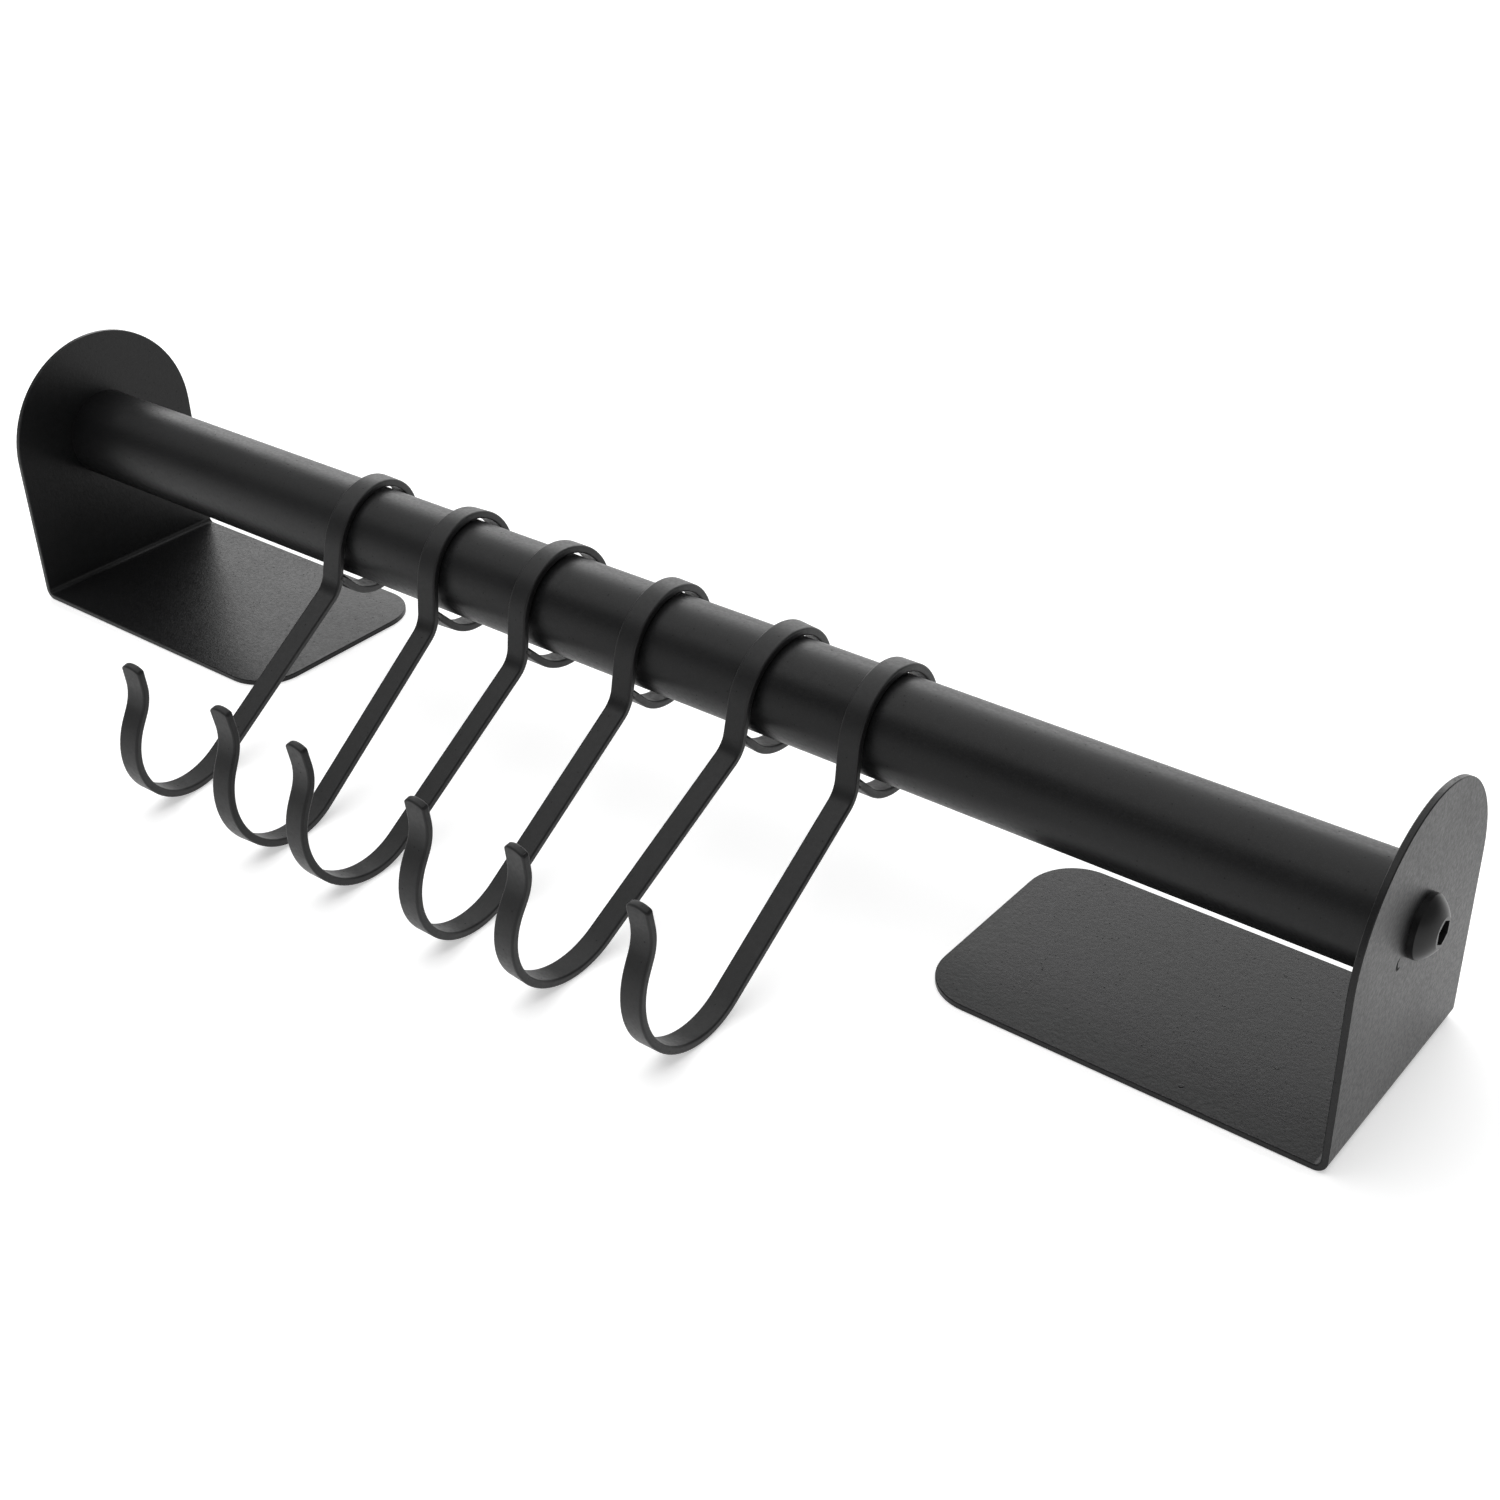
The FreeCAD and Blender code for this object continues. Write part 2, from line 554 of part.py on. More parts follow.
def sweep(body, name, section, path):
    pipe = body.newObject("PartDesign::AdditivePipe", name)
    pipe.Profile = section
    doc.recompute()
    pipe.Spine = (path, [f"Edge{n}" for n in range(1, len(path.Shape.Edges) + 1)])
    return pipe


def arched_tip(body, path_sketch, path):
    """Cut the square end of the bar to a shallow arch across its width."""
    reach = size("bar_width") / 2 + SPARE
    arch = size("tip_arch")
    drop = arch - math.sqrt(arch ** 2 - reach ** 2)
    sketch = new_sketch(body, body.Name + "_tip_arch", "XY_Plane")
    turned = Rotation(Vector(1, 0, 0), path.heading)
    sketch.AttachmentOffset = Placement(Vector(0, path.point.x, path.point.y), turned)
    sketch.setExpression("AttachmentOffset.Base.y", path_sketch.Name + ".Constraints.end_y")
    sketch.setExpression("AttachmentOffset.Base.z", path_sketch.Name + ".Constraints.end_z")
    heading_text = linked("(180 + stem_slope - bowl_turn + curl_turn)") + " * 1 deg"
    sketch.setExpression("AttachmentOffset.Rotation.Angle", heading_text)
    circle = Part.Circle(Vector(0, -arch, 0), Vector(0, 0, 1), arch)
    half = math.asin(reach / arch)
    arc = sketch.addGeometry(Part.ArcOfCircle(circle, math.pi / 2 - half, math.pi / 2 + half), False)
    left = sketch.addGeometry(Part.LineSegment(Vector(-reach, -drop, 0), Vector(-reach, SPARE, 0)), False)
    top = sketch.addGeometry(Part.LineSegment(Vector(-reach, SPARE, 0), Vector(reach, SPARE, 0)), False)
    right = sketch.addGeometry(Part.LineSegment(Vector(reach, SPARE, 0), Vector(reach, -drop, 0)), False)
    sketch.addConstraint(Sketcher.Constraint("Coincident", arc, 2, left, 1))
    sketch.addConstraint(Sketcher.Constraint("Coincident", left, 2, top, 1))
    sketch.addConstraint(Sketcher.Constraint("Coincident", top, 2, right, 1))
    sketch.addConstraint(Sketcher.Constraint("Coincident", right, 2, arc, 1))
    sketch.addConstraint(Sketcher.Constraint("Vertical", left))
    sketch.addConstraint(Sketcher.Constraint("Vertical", right))
    sketch.addConstraint(Sketcher.Constraint("PointOnObject", arc, 3, -2))
    sketch.addConstraint(Sketcher.Constraint("Symmetric", top, 1, top, 2, -2))
    hold(sketch, "arch", Sketcher.Constraint("Radius", arc, arch), "tip_arch")
    hold(sketch, "arch_y", Sketcher.Constraint("DistanceY", arc, 3, -1, 1, arch), "tip_arch")
    hold(sketch, "reach", Sketcher.Constraint("DistanceX", top, 1, top, 2, 2 * reach), f"bar_width + {2 * SPARE}")
    sketch.addConstraint(Sketcher.Constraint("DistanceY", -1, 1, top, 1, SPARE))
    pocket = body.newObject("PartDesign::Pocket", body.Name + "_tip")
    pocket.Profile = sketch
    pocket.SideType = "Symmetric"
    pocket.setExpression("Length", linked("bar_thickness * 3"))
    return pocket


def weld_bead(body, path_sketch):
    """A short bead across the bar, in the corner below the return where it meets the neck."""
    sketch = new_sketch(body, body.Name + "_weld_place", "YZ_Plane")
    radius = size("weld_radius")
    corner = "(bar_thickness / 2 / sin((180 - (ring_front + ring_back) / 2) * 1 deg) + weld_radius / 2)"
    facing = "((ring_front - ring_back) / 2 * 1 deg)"
    centre_y = f"{path_sketch.Name}.Constraints.end_y + {linked(corner)} * 1 mm * cos({linked(facing)})"
    centre_z = f"{path_sketch.Name}.Constraints.end_z + {linked(corner)} * 1 mm * sin({linked(facing)})"
    away = ring_radius()
    circle = sketch.addGeometry(Part.Circle(Vector(-away, -away, 0), Vector(0, 0, 1), radius), False)
    hold(sketch, "bead", Sketcher.Constraint("Radius", circle, radius), "weld_radius")
    for name, kind, text in (("bead_y", "DistanceX", centre_y), ("bead_z", "DistanceY", centre_z)):
        index = sketch.addConstraint(Sketcher.Constraint(kind, circle, 3, -1, 1, away))
        sketch.renameConstraint(index, name)
        sketch.setExpression("Constraints." + name, f"-({text})")
    pad = body.newObject("PartDesign::Pad", body.Name + "_weld")
    pad.Profile = sketch
    pad.SideType = "Symmetric"
    pad.setExpression("Length", linked("weld_length"))
    return pad


def make_hook(name):
    body = new_body(name)
    section = bar_section(body)
    front, front_route = front_path(body)
    back, _ = back_path(body)
    sweep(body, name + "_front", section, front)
    sweep(body, name + "_back", section, back)
    arched_tip(body, front, front_route)
    weld_bead(body, back)
    hang(body, name + "_at", "axis_height", name + "_skew", name + "_tilt")


make_tube()
make_bracket("right_bracket", "rail_length / 2", 0)
make_bracket("left_bracket", "-rail_length / 2", 180)
make_screw("right_screw", "rail_length / 2", 0)
make_screw("left_screw", "-rail_length / 2", 180)
make_plug("right_plug", "rail_length / 2 - bracket_sheet", 0)
make_plug("left_plug", "bracket_sheet - rail_length / 2", 180)
for hook_name in HOOKS:
    make_hook(hook_name)
doc.recompute()

bodies = [item for item in doc.Objects if item.TypeId == "PartDesign::Body"]
for item in doc.Objects:
    if "Invalid" in item.State or "Error" in item.State:
        raise RuntimeError(f"{item.Label} could not be built: {item.State}")
for body in bodies:
    if body.Shape.isNull() or not body.Shape.isValid() or len(body.Shape.Solids) != 1:
        raise RuntimeError(f"{body.Label} is not one valid solid")

os.makedirs("parts", exist_ok=True)
for body in bodies:
    body.Shape.exportStep(f"parts/{body.Label}.step")
    box = body.Shape.BoundBox
    print(f"{body.Label}: {body.Shape.Volume:.1f} mm3, X {box.XMin:.2f} {box.XMax:.2f},"
          f" Y {box.YMin:.2f} {box.YMax:.2f}, Z {box.ZMin:.2f} {box.ZMax:.2f}")
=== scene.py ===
import json
import math

import bmesh
import bpy
from mathutils import Matrix, Vector


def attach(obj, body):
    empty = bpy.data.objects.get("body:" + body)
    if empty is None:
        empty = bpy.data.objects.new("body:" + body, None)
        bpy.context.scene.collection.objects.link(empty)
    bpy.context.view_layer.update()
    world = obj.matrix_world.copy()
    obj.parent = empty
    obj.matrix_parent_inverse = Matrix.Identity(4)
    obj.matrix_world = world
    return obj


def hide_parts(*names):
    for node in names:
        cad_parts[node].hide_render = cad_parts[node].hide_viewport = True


bl_info = {
    "name": "Kitchen Utensil Rail",
    "version": (1, 0, 0),
    "blender": (4, 5, 0),
    "location": "View3D > Sidebar > Utensil Rail",
    "description": "Gives a utensil rail its powder coat and sets it on a studio table",
    "category": "Material",
}

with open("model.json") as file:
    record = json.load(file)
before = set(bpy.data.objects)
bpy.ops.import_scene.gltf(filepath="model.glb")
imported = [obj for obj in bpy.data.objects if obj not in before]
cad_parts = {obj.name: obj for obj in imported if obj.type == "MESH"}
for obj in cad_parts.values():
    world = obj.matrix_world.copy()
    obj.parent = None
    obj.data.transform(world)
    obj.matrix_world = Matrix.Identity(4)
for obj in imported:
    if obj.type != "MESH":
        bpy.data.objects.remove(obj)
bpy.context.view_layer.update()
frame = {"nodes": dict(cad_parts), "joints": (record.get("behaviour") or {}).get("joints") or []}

BRACKETS = ("left_bracket", "right_bracket")
SCREWS = ("left_screw", "right_screw")
PLUGS = ("left_plug", "right_plug")
HOOKS = ("hook_1", "hook_2", "hook_3", "hook_4", "hook_5", "hook_6")
MM = 0.001


# Sizes and colours that a user may change

class CoatFinish(bpy.types.PropertyGroup):
    """Black powder coat on the brackets, the tube and the hooks"""

    colour: bpy.props.FloatVectorProperty(
        name="Coat colour", description="Base colour of the powder coat",
        default=(0.0062, 0.0063, 0.0066), subtype="COLOR", min=0.0, max=1.0)
    bracket_roughness: bpy.props.FloatProperty(
        name="Bracket roughness", description="Roughness of the coat on the folded brackets",
        default=0.36, min=0.0, max=1.0, subtype="FACTOR")
    tube_roughness: bpy.props.FloatProperty(
        name="Tube roughness", description="Roughness of the coat on the tube",
        default=0.38, min=0.0, max=1.0, subtype="FACTOR")
    hook_roughness: bpy.props.FloatProperty(
        name="Hook roughness", description="Roughness of the coat on the hooks",
        default=0.42, min=0.0, max=1.0, subtype="FACTOR")
    shine: bpy.props.FloatProperty(
        name="Shine", description="Reflectivity of the coat, where 0.5 is clear varnish",
        default=0.25, min=0.0, max=1.0, subtype="FACTOR")
    hook_shine: bpy.props.FloatProperty(
        name="Hook shine", description="Reflectivity of the coat on the hooks",
        default=0.31, min=0.0, max=1.0, subtype="FACTOR")
    peel_width: bpy.props.FloatProperty(
        name="Orange peel", description="Distance from one ripple of the coat to the next",
        default=0.9 * MM, min=0.1 * MM, max=10 * MM, subtype="DISTANCE", unit="LENGTH")
    peel_depth: bpy.props.FloatProperty(
        name="Peel depth", description="Height of the ripples of the coat",
        default=0.035 * MM, min=0.0, max=1 * MM, subtype="DISTANCE", unit="LENGTH", precision=5)


class HookShape(bpy.types.PropertyGroup):
    """The flat bar that each hook is bent from, with radii given to its middle"""

    bar_width: bpy.props.FloatProperty(
        name="Bar width", description="Width of the bar along the rail",
        default=5.8 * MM, min=1 * MM, max=30 * MM, subtype="DISTANCE", unit="LENGTH")
    bar_thickness: bpy.props.FloatProperty(
        name="Bar thickness", description="Thickness of the bar",
        default=2.0 * MM, min=0.5 * MM, max=10 * MM, subtype="DISTANCE", unit="LENGTH")
    edge_radius: bpy.props.FloatProperty(
        name="Edge radius", description="Rounding of the bar's long edges",
        default=0.5 * MM, min=0.05 * MM, max=1 * MM, subtype="DISTANCE", unit="LENGTH")
    ring_radius: bpy.props.FloatProperty(
        name="Ring radius", description="Radius of the closed ring round the tube",
        default=15.0 * MM, min=5 * MM, max=60 * MM, subtype="DISTANCE", unit="LENGTH")
    ring_offset: bpy.props.FloatProperty(
        name="Ring offset", description="Distance from the tube's axis to the ring's centre",
        default=1.0 * MM, min=0.0, max=20 * MM, subtype="DISTANCE", unit="LENGTH")
    bowl_radius: bpy.props.FloatProperty(
        name="Bowl radius", description="Bend of the bowl that carries a utensil",
        default=18.8 * MM, min=5 * MM, max=60 * MM, subtype="DISTANCE", unit="LENGTH")
    weld_radius: bpy.props.FloatProperty(
        name="Weld bead", description="Radius of the bead that closes the ring on the neck",
        default=1.1 * MM, min=0.2 * MM, max=4 * MM, subtype="DISTANCE", unit="LENGTH")


class ScrewFinish(bpy.types.PropertyGroup):
    """Blackened steel of the two end screws"""

    colour: bpy.props.FloatVectorProperty(
        name="Screw colour", description="Base colour of the blackened screws",
        default=(0.0072, 0.0072, 0.0074), subtype="COLOR", min=0.0, max=1.0)
    roughness: bpy.props.FloatProperty(
        name="Screw roughness", description="Roughness of the blackened steel",
        default=0.34, min=0.0, max=1.0, subtype="FACTOR")
    shine: bpy.props.FloatProperty(
        name="Screw shine", description="Reflectivity of the blackened steel",
        default=0.3, min=0.0, max=1.0, subtype="FACTOR")


class PlugFinish(bpy.types.PropertyGroup):
    """Turned steel of the plugs inside the tube"""

    colour: bpy.props.FloatVectorProperty(
        name="Plug colour", description="Base colour of the turned steel",
        default=(0.55, 0.55, 0.54), subtype="COLOR", min=0.0, max=1.0)
    groove_pitch: bpy.props.FloatProperty(
        name="Tool marks", description="Distance from one turning mark to the next",
        default=0.5 * math.pi * MM, min=0.05 * MM, max=5 * MM, subtype="DISTANCE", unit="LENGTH")


class StudioSettings(bpy.types.PropertyGroup):
    """Table, lamps and camera"""

    table_size: bpy.props.FloatProperty(
        name="Table size", description="Side of the square white table",
        default=3.2, min=1.0, max=50.0, subtype="DISTANCE", unit="LENGTH")
    table_colour: bpy.props.FloatVectorProperty(
        name="Table colour", description="Colour of the table top",
        default=(0.86, 0.86, 0.86), subtype="COLOR", min=0.0, max=1.0)
    table_glow: bpy.props.FloatProperty(
        name="Table glow",
        description="Light that the table adds to its own colour, for the lens and in reflections",
        default=0.45, min=0.0, max=1.0, subtype="FACTOR")
    room_light: bpy.props.FloatProperty(
        name="Room light", description="Strength of the even light above the white band round the horizon",
        default=0.25, min=0.0, max=5.0)
    back_light: bpy.props.FloatProperty(
        name="Back light", description="Power of the wide soft lamp behind the rail, on its left",
        default=18.5, min=0.0, max=500.0, unit="POWER")
    top_light: bpy.props.FloatProperty(
        name="Top light", description="Power of the large soft box above the rail",
        default=23.0, min=0.0, max=500.0, unit="POWER")
    lens: bpy.props.FloatProperty(
        name="Lens", description="Focal length in millimetres on a 36 mm wide sensor",
        default=50.97, min=10.0, max=300.0)


FINISHES = (
    ("rail_coat", CoatFinish),
    ("rail_hook", HookShape),
    ("rail_screws", ScrewFinish),
    ("rail_plugs", PlugFinish),
    ("rail_studio", StudioSettings),
)


# Materials

class Finish:
    """A material whose nodes are added one at a time, each with its inputs."""

    def __init__(self, name):
        self.material = bpy.data.materials.new(name)
        self.material.use_nodes = True
        self.tree = self.material.node_tree
        self.shader = self.tree.nodes["Principled BSDF"]
        self.place = self.node("ShaderNodeTexCoord").outputs["Object"]

    def node(self, kind, inputs=None, **settings):
        """Add a node, with its inputs linked to sockets or set to values."""
        made = self.tree.nodes.new(kind)
        for key, value in settings.items():
            setattr(made, key, value)
        for key, value in (inputs or {}).items():
            if isinstance(value, bpy.types.NodeSocket):
                self.tree.links.new(value, made.inputs[key])
            else:
                made.inputs[key].default_value = value
        return made

    def noise(self, width, detail=2.0, roughness=0.5):
        """Noise whose features are about the given width in metres."""
        inputs = {"Vector": self.place, "Scale": 1.0 / width, "Detail": detail, "Roughness": roughness}
        return self.node("ShaderNodeTexNoise", inputs).outputs["Fac"]

    def spread(self, value, low, high, to_low=0.0, to_high=1.0):
        """Stretch the values from low to high over the new range."""
        inputs = {"Value": value, "From Min": low, "From Max": high, "To Min": to_low, "To Max": to_high}
        return self.node("ShaderNodeMapRange", inputs).outputs["Result"]

    def maths(self, operation, first, second):
        """Join two numbers by an operation."""
        made = self.node("ShaderNodeMath", {0: first, 1: second}, operation=operation)
        return made.outputs["Value"]

    def blend(self, factor, first, second):
        """Mix two colours by a factor."""
        made = self.node("ShaderNodeMix", data_type="RGBA")
        for key, value in (("Factor", factor), ("A", first), ("B", second)):
            socket = [item for item in made.inputs if item.name == key and item.enabled][0]
            if isinstance(value, bpy.types.NodeSocket):
                self.tree.links.new(value, socket)
            else:
                socket.default_value = value
        return [item for item in made.outputs if item.enabled][0]

    def specks(self, spacing, radius, share, shift=0.0):
        """Small round specks scattered on a grid of cells, in a share of the cells."""
        moved = self.node("ShaderNodeVectorMath", {0: self.place, 1: (shift, shift, shift)}, operation="ADD")
        inputs = {"Vector": moved.outputs["Vector"], "Scale": 1.0 / spacing}
        cells = self.node("ShaderNodeTexVoronoi", inputs)
        near = self.spread(cells.outputs["Distance"], 0.6 * radius / spacing, radius / spacing, 1.0, 0.0)
        pick = self.node("ShaderNodeSeparateColor", {"Color": cells.outputs["Color"]})
        chosen = self.maths("LESS_THAN", pick.outputs["Red"], share)
        return self.maths("MULTIPLY", near, chosen)

    def spot(self, centre, radius):
        """One round spot at a place on the part, given in millimetres."""
        ends = {0: self.place, 1: Vector(centre) * MM}
        apart = self.node("ShaderNodeVectorMath", ends, operation="DISTANCE")
        return self.spread(apart.outputs["Value"], 0.7 * radius * MM, radius * MM, 1.0, 0.0)

    def spots(self, marks):
        """Several spots, each an (x, y, z, radius) in millimetres."""
        found = self.spot(marks[0][:3], marks[0][3])
        for *centre, radius in marks[1:]:
            found = self.maths("MAXIMUM", found, self.spot(centre, radius))
        return found

    def crescent(self, centre, radius):
        """A crescent-shaped scratch that opens towards the back of the rail."""
        x, y, z = centre
        inside = self.spot((x, y + 0.4 * radius, z + 0.1 * radius), 0.95 * radius)
        return self.maths("MAXIMUM", self.maths("SUBTRACT", self.spot(centre, radius), inside), 0.0)

    def set(self, **values):
        """Link or set the shader's own sockets, named with underscores for spaces."""
        for key, value in values.items():
            socket = self.shader.inputs[key.replace("_", " ")]
            if isinstance(value, bpy.types.NodeSocket):
                self.tree.links.new(value, socket)
            else:
                socket.default_value = value

    def wear(self, nodes):
        """Put the material on the given nodes of the frame."""
        for name in nodes:
            mesh = frame["nodes"][name].data
            mesh.materials.clear()
            mesh.materials.append(self.material)


def tone(colour, factor):
    """A colour made lighter or darker, with its alpha."""
    return (*[min(1.0, channel * factor) for channel in colour], 1.0)


# Marks in the powder coat: widths, spacings and radii, and heights as multiples of the ripples' own
CLOUD_WIDTH = 45 * MM
PIT_SPACING = 1.6 * MM
PIT_RADIUS = 0.24 * MM
PIT_DULLNESS = 0.35
DUST_SPACING = 4.5 * MM
DUST_RADIUS = 0.15 * MM
DUST_COLOUR = (0.22, 0.22, 0.22, 1.0)
NIB_HEIGHT = 6.0
SCRATCH_DEPTH = 6.0
SCRATCH_DULLNESS = 0.6


def powder_coat(name, settings, roughness, shine, peel=1.0, dust=0.02, nibs=(), scratch=None):
    """Black powder coat with ripples, fine grain whose lighter specks are a painted glint, faint clouds,
    pits and a little dust.
    """
    finish = Finish(name)
    ripples = finish.noise(settings.peel_width, detail=2.5)
    swells = finish.noise(3.2 * settings.peel_width, detail=1.0)
    grain = finish.noise(0.25 * settings.peel_width, detail=2.0, roughness=0.6)
    clouds = finish.noise(CLOUD_WIDTH, detail=3.0)
    waves = finish.maths("ADD", ripples, finish.maths("MULTIPLY", swells, 0.6))
    height = finish.maths("ADD", waves, finish.maths("MULTIPLY", grain, 0.4))
    pits = finish.specks(PIT_SPACING, PIT_RADIUS, 10 * dust, shift=3.7)
    if nibs:
        height = finish.maths("ADD", height, finish.maths("MULTIPLY", finish.spots(nibs), NIB_HEIGHT))
    dull = finish.maths("MULTIPLY", pits, PIT_DULLNESS)
    if scratch:
        cut = finish.crescent(scratch[:3], scratch[3])
        height = finish.maths("SUBTRACT", height, finish.maths("MULTIPLY", cut, SCRATCH_DEPTH))
        dull = finish.maths("MAXIMUM", dull, finish.maths("MULTIPLY", cut, SCRATCH_DULLNESS))
    relief = {"Height": height, "Strength": 0.8, "Distance": peel * settings.peel_depth}
    bump = finish.node("ShaderNodeBump", relief)
    # The third tone, 2.2 times the coat colour, is a painted glint: the fine grain mixes it in as tiny
    # painted highlights
    dark, light, painted_glint = [tone(settings.colour, factor) for factor in (0.8, 1.25, 2.2)]
    cloudy = finish.blend(finish.spread(clouds, 0.35, 0.65), dark, light)
    grain_and_painted_glint = finish.blend(finish.spread(grain, 0.52, 0.75), cloudy, painted_glint)
    dusty = finish.blend(finish.specks(DUST_SPACING, DUST_RADIUS, dust), grain_and_painted_glint, DUST_COLOUR)
    gloss = finish.spread(ripples, 0.3, 0.7, roughness - 0.05, roughness + 0.06)
    worn = finish.maths("ADD", gloss, finish.spread(clouds, 0.3, 0.7, -0.03, 0.04))
    finish.set(Base_Color=dusty, Roughness=finish.maths("ADD", worn, dull), Normal=bump.outputs["Normal"])
    finish.set(IOR=1.5, Specular_IOR_Level=shine)
    return finish


# Pieces

# Nibs and a scratch in the coat of the right bracket, each (x, y, z, radius) in millimetres
COAT_NIBS = (
    (183.6, -8.6, 1.5, 0.5), (170.6, -25.2, 1.5, 0.6), (171.3, 20.2, 1.5, 0.4), (175.9, 14.2, 1.5, 0.35),
    (165.4, 3.0, 1.5, 0.35), (119.7, 19.4, 1.5, 0.3), (205.0, 18.7, 37.7, 0.4), (205.0, 15.7, 4.4, 0.35),
)
COAT_SCRATCH = (205.0, -9.1, 38.7, 1.6)


class CoatBrackets(bpy.types.Operator):
    """Coat the two folded brackets with rippled black powder"""

    bl_idname = "utensil_rail.coat_brackets"
    bl_label = "Coat the brackets"

    def execute(self, context):
        settings = context.scene.rail_coat
        coat = powder_coat("bracket_coat", settings, settings.bracket_roughness, settings.shine,
                           peel=1.4, dust=0.05, nibs=COAT_NIBS, scratch=COAT_SCRATCH)
        coat.wear(BRACKETS)
        return {"FINISHED"}


class CoatTube(bpy.types.Operator):
    """Coat the tube with black powder"""

    bl_idname = "utensil_rail.coat_tube"
    bl_label = "Coat the tube"

    def execute(self, context):
        settings = context.scene.rail_coat
        coat = powder_coat("tube_coat", settings, settings.tube_roughness, settings.shine,
                           peel=0.5, dust=0.04)
        coat.wear(["tube"])
        return {"FINISHED"}


# The bends of a hook in degrees, each ring's turn counted from its top
RING_BEARING = 15.0
RING_FRONT = 82.2
RING_BACK = 226.0
STEM_SLOPE = 32.5
BOWL_TURN = 149.3
CURL_TURN = 35.7

# The other lengths of a hook, with the tip's arched end and the rounding of its edges
NECK_LENGTH = 8.0 * MM
NECK_RADIUS = 7.0 * MM
RISE_LENGTH = 2.7 * MM
CURL_RADIUS = 12.4 * MM
TIP_LENGTH = 5.7 * MM
TIP_ARCH = 4.4 * MM
TIP_ROUND = 0.5 * MM
BOWL_LIFT = 0.15 * MM

# How finely the bar is divided: degrees of a bend, then steps round the bar's corners, across its wide
# sides and round the tip's edge, and the distance of the points that keep its flat sides flat
BEND_STEP = 4.0
CORNER_STEPS = 4
CORNER_POINTS = CORNER_STEPS + 3
ACROSS_STEPS = 8
TIP_STEPS = 6
ARCH_STATIONS = 4
SUPPORT = 0.12 * MM

# The weld bead's half length as a share of the bar's width, and how much it thins towards its ends
WELD_REACH = 0.38
WELD_TAPER = 0.15

# How far each hook is turned about the vertical and tilted sideways on the tube, in degrees
HOOK_SKEWS = {"hook_1": 6.0, "hook_2": 4.1, "hook_3": -0.3, "hook_4": 2.5, "hook_5": -1.5, "hook_6": 0.4}
HOOK_TILTS = {"hook_1": 6.0, "hook_2": -0.6, "hook_3": 0.1, "hook_4": 3.9, "hook_5": 5.2, "hook_6": 0.0}


class Route:
    """Stations along the middle of the bar, each a point (y, z) and a heading in degrees."""

    def __init__(self, point, heading):
        self.point = Vector(point)
        self.heading = heading
        self.stations = [(self.point.copy(), heading)]

    def arc(self, radius, turn):
        """Turn to the left where the turn is positive."""
        side = 1 if turn > 0 else -1
        count = max(2, math.ceil(abs(turn) / BEND_STEP))
        facing = math.radians(self.heading + 90 * side)
        centre = self.point + radius * Vector((math.cos(facing), math.sin(facing)))
        start = self.heading
        for number in range(1, count + 1):
            self.heading = start + turn * number / count
            out = math.radians(self.heading - 90 * side)
            self.point = centre + radius * Vector((math.cos(out), math.sin(out)))
            self.stations.append((self.point.copy(), self.heading))

    def line(self, length, count=3):
        """Go straight on."""
        ahead = Vector((math.cos(math.radians(self.heading)), math.sin(math.radians(self.heading))))
        start = self.point.copy()
        for number in range(1, count + 1):
            self.point = start + ahead * (length * number / count)
            self.stations.append((self.point.copy(), self.heading))


def ring_centre(shape):
    """The ring's centre from the tube's axis, as (y, z): the ring bears on the tube above it."""
    lean = math.radians(RING_BEARING)
    return Vector((shape.ring_offset * math.sin(lean), -shape.ring_offset * math.cos(lean)))


def weld_point(shape):
    """Where the bar's welded end meets the middle of the neck."""
    front = math.radians(RING_FRONT)
    neck = ring_centre(shape) + shape.ring_radius * Vector((-math.sin(front), math.cos(front)))
    down = Vector((-math.cos(front), -math.sin(front)))
    back = math.radians(90 - RING_BACK)
    low = ring_centre(shape) + shape.ring_radius * Vector((math.cos(back), math.sin(back)))
    ahead = Vector((math.cos(math.radians(-RING_BACK)), math.sin(math.radians(-RING_BACK))))
    gap = neck - low
    reach = (down.x * gap.y - down.y * gap.x) / (down.x * ahead.y - down.y * ahead.x)
    return low + ahead * reach, reach


def bar_route(shape, axis_height):
    """The whole bar, from its welded end round the ring, down the stem and out at the tip."""
    start, reach = weld_point(shape)
    route = Route(start, 180.0 - RING_BACK)
    route.line(reach)
    route.arc(shape.ring_radius, RING_BACK + RING_FRONT)
    route.line(NECK_LENGTH)
    route.arc(NECK_RADIUS, STEM_SLOPE - RING_FRONT)
    slope = math.radians(STEM_SLOPE)
    bowl_z = BOWL_LIFT + shape.bowl_radius + shape.bar_thickness / 2 - axis_height
    foot = bowl_z - shape.bowl_radius * math.cos(slope)
    route.line((route.point.y - foot) / math.sin(slope), count=8)
    route.arc(shape.bowl_radius, -BOWL_TURN)
    route.line(RISE_LENGTH)
    route.arc(CURL_RADIUS, CURL_TURN)
    route.line(TIP_LENGTH - TIP_ROUND, count=ARCH_STATIONS)
    return route


